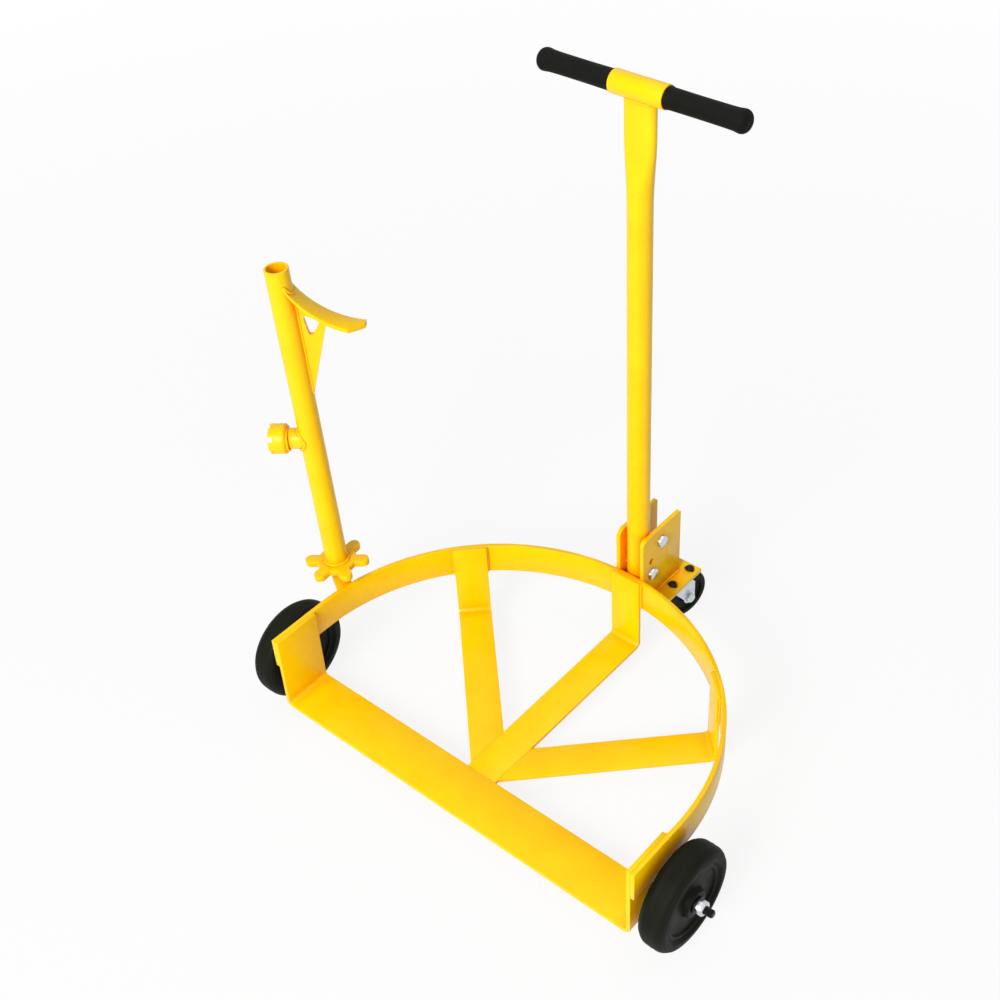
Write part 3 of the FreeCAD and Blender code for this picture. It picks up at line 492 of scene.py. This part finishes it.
def bead(name, points, body, radius_mm=WELD_RADIUS, closed=False):
    """Painted weld: a rope of overlapping ripples laid along a line of points."""
    line = [points[0]]
    lengths = [0.0]
    for start, end in zip(points, points[1:] + points[:1] if closed else points[1:]):
        span = (end - start).length
        count = max(1, round(span / (WELD_STEP * MM)))
        for i in range(1, count + 1):
            line.append(start.lerp(end, i / count))
            lengths.append(lengths[-1] + span / count)
    if closed:
        line.pop()
        lengths.pop()
    last = len(line) - 1
    angles = [FULL_TURN * k / WELD_SIDES for k in range(WELD_SIDES)]
    side = None
    rings = []
    for i, point in enumerate(line):
        before = line[i - 1] if i or closed else point
        after = line[(i + 1) % len(line)] if i < last or closed else point
        along = (after - before).normalized()
        side = along.orthogonal() if side is None else side - along * side.dot(along)
        side.normalize()
        out = along.cross(side)
        ripple = 1 + WELD_RIPPLE * math.cos(FULL_TURN * lengths[i] / (WELD_PITCH * MM))
        share = 1.0 if closed else min(1.0, WELD_END_SHARE + min(i, last - i) * WELD_END_GROWTH)
        radius = radius_mm * MM * ripple * share
        rings.append([point + (side * math.cos(a) + out * math.sin(a)) * radius for a in angles])
    shape = bmesh.new()
    loft(shape, rings, closed)
    return put(name, shape, body, "yellow_paint", smooth_angle=WELD_SMOOTH_ANGLE)


# Frame

def make_frame_bars():
    """The rim, the deck bars and the bracket's plates, with the softened edges of sprayed flat bar."""
    for node in ("rim", "front_bar", "centre_spoke", "left_spoke", "right_spoke"):
        dressed(node, 0.7)
    dressed("bracket_plate", 0.8)
    for node in ("left_cheek", "right_cheek"):
        dressed(node, 0.8, shortest_mm=1.4)


def rim_point(heading, offset, sideways, radius):
    """Point where a spoke's line, shifted sideways, meets a circle about the drum's axis."""
    along = Vector((math.sin(heading), math.cos(heading), 0))
    across = Vector((math.cos(heading), -math.sin(heading), 0))
    start = Vector((0, offset, 0)) + across * sideways
    back = start.dot(along)
    return start + along * (math.sqrt(back ** 2 - start.length_squared + radius ** 2) - back)


def make_frame_welds():
    """Welds where the bars' tabs meet the rim, and where the bracket meets the rim and its own plate."""
    inset = WELD_INSET * MM
    side_angle = math.radians(SIDE_SPOKE_ANGLE)
    side_offset = SIDE_SPOKE_OFFSET * MM
    foot_rise = Z_AXIS * RIM_BOTTOM
    top_rise = Z_AXIS * (RIM_TOP - inset)
    weld_z = PLATE_HIGH.z + inset
    spokes = (("centre", 0.0, 0.0),
              ("left", -side_angle, side_offset),
              ("right", side_angle, side_offset))
    for name, heading, offset in spokes:
        for label, sign in (("a", -1), ("b", 1)):
            foot = rim_point(heading, offset, sign * (SPOKE_HALF + inset), RIM_IN - inset)
            bead(f"{name}_spoke_weld_{label}", [foot + foot_rise, foot + top_rise], "frame")
    for name, side in (("left", -1), ("right", 1)):
        foot = Vector((side * (RIM_IN - inset), FRONT_BAR_REAR + inset, 0))
        bead(f"{name}_tab_weld", [foot + foot_rise, foot + top_rise], "frame")
        outer = side * (CHEEK_HIGH.x + inset)
        cheek_front = math.sqrt(RIM_OUT ** 2 - outer ** 2)
        bead(f"{name}_cheek_foot_weld", [Vector((outer, cheek_front, weld_z)),
                                         Vector((outer, CHEEK_HIGH.y, weld_z))], "frame")
        bead(f"{name}_cheek_rim_weld", [Vector((outer, cheek_front + inset, PLATE_HIGH.z)),
                                        Vector((outer, cheek_front + inset, RIM_TOP - inset))], "frame")
    start = CHEEK_HIGH.x
    reach = PLATE_HIGH.x - 2 * inset - start
    for name, side in (("left", -1), ("right", 1)):
        arc = []
        for i in range(PLATE_WELD_STEPS + 1):
            x = side * (start + reach * i / PLATE_WELD_STEPS)
            arc.append(Vector((x, math.sqrt((RIM_OUT + inset) ** 2 - x ** 2), weld_z)))
        bead(f"{name}_plate_weld", arc, "frame")


# Side wheels

def make_side_wheel(name, side):
    """Rubber tread with a moulding line and shoulder rings, its centre and the axle's fittings."""
    low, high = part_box(name + "_tyre")
    centre = (low + high) / 2
    radius = (high.z - low.z) / 2
    half = (high.x - low.x) / 2
    seat = TYRE_SEAT_RADIUS * MM
    lip = TYRE_LIP * MM
    shoulder = TYRE_SHOULDER * MM
    tread = radius - MOULD_LINE_HEIGHT * MM
    upper = [(seat, half - lip), (seat + lip, half)]
    for k in range(SHOULDER_STEPS + 1):
        angle = QUARTER_TURN * (1 - k / SHOULDER_STEPS)
        reach = shoulder + (SHOULDER_RING * MM if k in SHOULDER_RING_STEPS else 0.0)
        upper.append((tread - shoulder + reach * math.cos(angle),
                      half - shoulder + reach * math.sin(angle)))
    upper += [(tread, MOULD_LINE_FOOT * MM), (radius, MOULD_LINE_CREST * MM)]
    profile = upper + [(r, -h) for r, h in reversed(upper)]
    shape = bmesh.new()
    turn(shape, profile, axis_place(centre, X_AXIS * side), TYRE_TURN_STEPS)
    put(name + "_tread", shape, name + "_wheel_set", "tyre_rubber", [name + "_tyre"])
    for node in (name + "_wheel_core", name + "_wheel_bush"):
        dressed(node, 0.6)
    dressed(name + "_axle_spacer", 0.35)
    dressed(name + "_axle_washer", 0.35, slot="black_oxide")
    dressed(name + "_axle_nut", 0.5, shortest_mm=0.9)
    make_axle(name, side)


def make_axle(name, side):
    """Dark stub axle with a cut thread past its nut and a tapered end."""
    low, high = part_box(name + "_axle")
    centre = (low + high) / 2
    radius = AXLE_RADIUS * MM
    pitch = THREAD_PITCH * MM
    step = pitch / THREAD_STEPS
    point_length = radius / 3
    inner, outer = sorted((abs(low.x), abs(high.x)))
    nut_face = max(abs(corner.x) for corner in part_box(name + "_axle_nut"))
    count = int((outer - nut_face - point_length) / step)
    stations = [(inner, 0.0), (nut_face - pitch, 0.0)]
    stations += [(nut_face - pitch / 2 + i * step, 1.0) for i in range(count)]
    tip = stations[-1][0]
    stations += [(tip + (outer - tip) * share, 1.0 - share) for share in AXLE_POINT_SHARES]
    rings = []
    for along, cut in stations:
        taper = max(0.0, along - outer + point_length)
        ring = []
        for k in range(AXLE_SIDES):
            angle = FULL_TURN * k / AXLE_SIDES
            ridge = abs(2 * ((along / pitch + k / AXLE_SIDES) % 1) - 1)
            reach = radius - cut * THREAD_DEPTH * MM * ridge - taper
            ring.append(Vector((side * along,
                                centre.y + reach * math.cos(angle),
                                centre.z + reach * math.sin(angle))))
        rings.append(ring)
    shape = bmesh.new()
    loft(shape, rings)
    put(name + "_axle_threaded", shape, "frame", "black_oxide", [name + "_axle"])


# Handle

def make_handle():
    """Upright tube, flattened and saddled under the sleeve, drilled for its pivot and lock pin."""
    low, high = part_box("handle_tube")
    sleeve_low, sleeve_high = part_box("cross_sleeve")
    centre = Vector(((low.x + high.x) / 2, (low.y + high.y) / 2, 0))
    sleeve_z = (sleeve_low.z + sleeve_high.z) / 2
    sleeve_radius = (sleeve_high.z - sleeve_low.z) / 2
    radius = (high.y - low.y) / 2
    flat_width = (high.x - low.x) / 2
    flat = FLAT_HALF_THICKNESS * MM
    start = FLATTENING_START * MM
    rise = FLATTENING_END * MM - start

    def skin(inset):
        """Rings of the tube's skin, this far in from its outside."""
        rings = [circle(radius - inset, low.z), circle(radius - inset, start)]
        for i in range(1, FLATTENING_STEPS + 1):
            share = i / FLATTENING_STEPS
            ease = share * share * (3 - 2 * share)
            width = radius + (flat_width - radius) * ease - inset
            thickness = radius + (flat - radius) * ease - inset
            rings.append(stadium(width, thickness, start + rise * share))
        top = stadium(flat_width - inset, flat - inset, 0)
        for point in top:
            point.z = sleeve_z - math.sqrt(sleeve_radius ** 2 - point.y ** 2) + SADDLE_SINK * MM
        return rings + [top]

    shape = bmesh.new()
    loft(shape, skin(0) + list(reversed(skin(HANDLE_WALL * MM))), closed=True)
    bmesh.ops.translate(shape, vec=centre, verts=shape.verts)
    tube = put("handle_upright", shape, "handle", "yellow_paint", ["handle_tube"])
    pivot = Vector(JOINTS["handle_lean"]["pos_m"])
    reach = DRILL_REACH * MM
    for bore, height in ((PIVOT_BORE * MM, pivot.z), (PIN_BORE * MM, PIN_HEIGHT * MM)):
        drill = bmesh.new()
        turn(drill, [(0, -reach), (bore, -reach), (bore, reach), (0, reach)],
             axis_place(Vector((0, pivot.y, height)), X_AXIS), DRILL_STEPS)
        cut_away(tube, drill)
    for node in ("cross_sleeve", "crossbar"):
        dressed(node, 0.6)
    seam_half = flat_width - flat / 2
    seam_y = flat - SADDLE_SINK * MM
    seam_z = sleeve_z - math.sqrt(sleeve_radius ** 2 - seam_y ** 2) - WELD_INSET * MM
    for label, sign in (("front", -1), ("back", 1)):
        seam = [Vector((x, centre.y + sign * seam_y, seam_z)) for x in (-seam_half, seam_half)]
        bead(f"sleeve_weld_{label}", seam, "handle", SLEEVE_WELD_RADIUS)
    for name, direction in (("left", -1), ("right", 1)):
        make_grip(name, direction)


def make_grip(name, direction):
    """Push-on grip with a rolled collar, a slightly waisted body and a rounded, swollen tip."""
    low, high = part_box(name + "_grip")
    length = high.x - low.x
    centre = (low + high) / 2
    wide = (high.z - low.z) / 2 - GRIP_SLIMNESS * MM
    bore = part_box("crossbar")[1].z - centre.z
    tip = GRIP_TIP_ROUND * MM
    cap = length - GRIP_CAP * MM
    profile = [(bore, 0)]
    profile += [(wide - under * MM, along * MM) for under, along in GRIP_COLLAR]
    body, collar_end = profile[-1]
    swelling = length - GRIP_SWELLING[0][1] * MM
    for i in range(1, GRIP_STEPS):
        share = i / GRIP_STEPS
        waist = GRIP_WAIST * MM * math.sin(math.pi * share)
        profile.append((body - waist, collar_end + (swelling - collar_end) * share))
    profile += [(wide - under * MM, length - back * MM) for under, back in GRIP_SWELLING]
    for i in range(GRIP_STEPS + 1):
        angle = QUARTER_TURN * i / GRIP_STEPS
        profile.append((wide - tip + tip * math.cos(angle), length - tip + tip * math.sin(angle)))
    profile += [(0, length), (0, cap), (bore, cap)]
    start = Vector((min(abs(low.x), abs(high.x)) * direction, centre.y, centre.z))
    shape = bmesh.new()
    turn(shape, profile, axis_place(start, X_AXIS * direction), GRIP_TURN_STEPS)
    put(name + "_grip_moulded", shape, "handle", "grip_rubber", [name + "_grip"])


# Post and lever

def make_post():
    """Bent round bar with its stop ring, welded to the rim."""
    dressed("tool_post")
    dressed("stop_ring", 0.6)
    heading = math.radians(POST_ANGLE)
    out = Vector((math.cos(heading), math.sin(heading), 0))
    root = axis_place(out * (RIM_OUT + POST_WELD_OFFSET * MM) + Z_AXIS * POST_ROOT_HEIGHT * MM, out)
    ring = circle((POST_RADIUS + POST_WELD_PROUD) * MM, 0, RING_WELD_STEPS)
    bead("post_weld", [root @ point for point in ring], "frame", POST_WELD_RADIUS, closed=True)


def lever_frame():
    """Matrix of the lever's own axes (from its foot, Z up the tube, X to the hook), and its length."""
    low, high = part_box("lever_tube")
    axis = Vector(JOINTS["lever_lift"]["axis"]).normalized()
    slant = math.sqrt(1 - axis.z ** 2)
    length = (high.z - low.z - 2 * LEVER_RADIUS * MM * slant) / axis.z
    middle = (low + high) / 2
    hook_low, hook_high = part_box("hook_lip")
    to_hook = (hook_low + hook_high) / 2 - middle
    return axis_place(middle - axis * length / 2, axis, to_hook), length


def make_lever():
    """Open tube with its star head, side head and hook."""
    place, length = lever_frame()
    outer = LEVER_RADIUS * MM
    inner = outer - LEVER_WALL * MM
    edge = LEVER_EDGE * MM
    shape = bmesh.new()
    turn(shape, [(inner + edge, 0), (outer - edge, 0), (outer, edge), (outer, length - edge),
                 (outer - edge, length), (inner + edge, length), (inner, length - edge), (inner, edge)],
         place, LEVER_TURN_STEPS)
    put("lever_tube_open", shape, "lever", "yellow_paint", ["lever_tube"])
    dressed("star_head", 1.2)
    dressed("side_stub", 0.4)
    dressed("side_head", 0.7)
    dressed("hook_gusset")
    dressed("hook_lip", 0.35, shortest_mm=3.0)
    make_lever_welds(place)


def make_lever_welds(place):
    """Welds of the star head, the side head and the hook on the lever's tube."""
    radius = (LEVER_RADIUS + LEVER_WELD_PROUD) * MM
    neck = (SIDE_NECK_RADIUS + LEVER_WELD_PROUD) * MM
    neck_end = (SIDE_NECK_END - SIDE_NECK_SINK) * MM

    def tube_side(sideways):
        """How far out the tube's skin lies at this distance sideways."""
        return math.sqrt(radius ** 2 - sideways ** 2)

    ring = circle((LEVER_RADIUS + STAR_WELD_PROUD) * MM, (STAR_THICKNESS + STAR_WELD_PROUD) * MM,
                  RING_WELD_STEPS)
    bead("star_weld", [place @ point for point in ring], "lever", STAR_WELD_RADIUS, closed=True)
    saddle = []
    collar = []
    for point in circle(neck, 0, STUB_WELD_STEPS):
        height = SIDE_HEAD_HEIGHT * MM + point.y
        saddle.append(place @ Vector((-tube_side(point.x), point.x, height)))
        collar.append(place @ Vector((-neck_end, point.x, height)))
    bead("stub_weld", saddle, "lever", closed=True)
    bead("side_head_weld", collar, "lever", SIDE_HEAD_WELD_RADIUS, closed=True)
    lip = []
    for i in range(LIP_WELD_STEPS + 1):
        sideways = LIP_HALF_WIDTH * MM * (2 * i / LIP_WELD_STEPS - 1)
        out = tube_side(sideways)
        fall = math.sqrt((LIP_CURVE_RADIUS * MM) ** 2 - (out - LIP_CURVE_REACH * MM) ** 2)
        lip.append(place @ Vector((out, sideways, (HOOK_TOP + LIP_CURVE_RISE) * MM - fall)))
    bead("lip_weld", lip, "lever", HOOK_WELD_RADIUS)
    for label, sign in (("a", -1), ("b", 1)):
        sideways = sign * (BAR / 2 + GUSSET_WELD_INSET * MM)
        out = tube_side(sideways)
        seam = [place @ Vector((out, sideways, height * MM)) for height in (HOOK_FOOT, HOOK_WELD_TOP)]
        bead(f"gusset_weld_{label}", seam, "lever", HOOK_WELD_RADIUS)


# Bracket fasteners and caster

def make_fasteners():
    """Plated bolts and nuts of the bracket."""
    for node in ("pivot_bolt", "pivot_nut", "stop_bolt", "stop_nut"):
        dressed(node, 0.5, shortest_mm=0.9)


def make_caster():
    """Plate, race, fork, wheel and axle of the rear caster."""
    for node in ("caster_top_plate", "caster_balls"):
        dressed(node)
    for node in ("caster_fork", "caster_screws", "caster_kingpin"):
        dressed(node, 0.35)
    for node in ("caster_wheel", "caster_wheel_bush"):
        dressed(node, 0.5)
    for node in ("caster_axle_bolt", "caster_axle_nut", "caster_screw_nuts"):
        dressed(node, 0.4, shortest_mm=0.9)


# Stage, camera and light

def make_camera():
    """Camera at the photograph's viewpoint, solved from the rim, the bars and the handle."""
    azimuth = math.radians(CAMERA_AZIMUTH)
    elevation = math.radians(CAMERA_ELEVATION)
    level = math.cos(elevation)
    back = Vector((math.sin(azimuth) * level, -math.cos(azimuth) * level, math.sin(elevation)))
    right = (-back).cross(Z_AXIS).normalized()
    up = back.cross(right)
    data = bpy.data.cameras.new("camera")
    data.sensor_width = CAMERA_SENSOR
    data.lens = CAMERA_LENS
    data.clip_end = CAMERA_FAR
    camera = bpy.data.objects.new("camera", data)
    turned = Matrix((right, up, back)).transposed().to_4x4()
    rolled = Matrix.Rotation(-math.radians(CAMERA_ROLL), 4, "Z")
    camera.matrix_world = Matrix.Translation(CAMERA_EYE) @ turned @ rolled
    bpy.context.scene.collection.objects.link(camera)
    bpy.context.scene.camera = camera


def camera_share(tree):
    """Socket that is 1 for what the camera sees straight, in a reflection or through a clear piece."""
    rays = add(tree, "ShaderNodeLightPath").outputs
    straight = add(tree, "ShaderNodeMath", {0: rays["Is Camera Ray"], 1: rays["Is Glossy Ray"]},
                   operation="MAXIMUM")
    return add(tree, "ShaderNodeMath", {0: straight, 1: rays["Is Transmission Ray"]}, operation="MAXIMUM")


def make_floor():
    """Pale seamless floor that keeps a soft shadow near the object and fades to white further off."""
    material, tree, place = new_finish("pale_paper_floor")
    distance = add(tree, "ShaderNodeVectorMath", {0: place}, operation="LENGTH").outputs["Value"]
    whiteness = add(tree, "ShaderNodeMapRange", {"Value": distance, "From Min": FADE_START,
                                                 "From Max": FADE_END, "To Min": FLOOR_WHITENESS,
                                                 "To Max": 1.0})
    share = add(tree, "ShaderNodeMath", {0: camera_share(tree), 1: whiteness}, operation="MULTIPLY")
    paper = add(tree, "ShaderNodeBsdfDiffuse", {"Color": linear("#E6E6E6")})
    white = add(tree, "ShaderNodeEmission", {"Color": linear("#FFFFFF"), "Strength": 1.0})
    mixed = add(tree, "ShaderNodeMixShader", {0: share, 1: paper.outputs[0], 2: white.outputs[0]})
    add(tree, "ShaderNodeOutputMaterial", {"Surface": mixed})
    shape = bmesh.new()
    bmesh.ops.create_grid(shape, x_segments=2, y_segments=2, size=FLOOR_HALF)
    bmesh.ops.translate(shape, vec=(0, 0, FLOOR_Z), verts=shape.verts)
    mesh = bpy.data.meshes.new("floor")
    shape.to_mesh(mesh)
    shape.free()
    mesh.materials.append(material)
    floor = bpy.data.objects.new("floor", mesh)
    bpy.context.scene.collection.objects.link(floor)


def make_world():
    """White surroundings for the camera and reflections, and an even, softer light on the object."""
    world = bpy.data.worlds.new("studio")
    bpy.context.scene.world = world
    world.use_nodes = True
    tree = world.node_tree
    tree.nodes.clear()
    seen = add(tree, "ShaderNodeBackground", {"Color": linear("#FFFFFF"), "Strength": 1.0})
    light = add(tree, "ShaderNodeBackground", {"Color": linear("#FFFFFF"), "Strength": WORLD_LIGHT})
    share = camera_share(tree)
    mixed = add(tree, "ShaderNodeMixShader", {0: share, 1: light.outputs[0], 2: seen.outputs[0]})
    add(tree, "ShaderNodeOutputWorld", {"Surface": mixed})


def make_lamp(name, place, target, size, watts):
    """Soft square lamp aimed at a point."""
    data = bpy.data.lights.new(name, "AREA")
    data.size = size
    data.energy = watts
    lamp = bpy.data.objects.new(name, data)
    lamp.matrix_world = axis_place(Vector(place), Vector(place) - Vector(target))
    bpy.context.scene.collection.objects.link(lamp)


make_frame_bars()
make_frame_welds()
for wheel_name, wheel_side in (("left", -1), ("right", 1)):
    make_side_wheel(wheel_name, wheel_side)
make_handle()
make_post()
make_lever()
make_fasteners()
make_caster()

make_floor()
make_world()
make_camera()
for lamp_settings in LAMPS:
    make_lamp(*lamp_settings)

bpy.context.scene.view_settings.view_transform = "Standard"
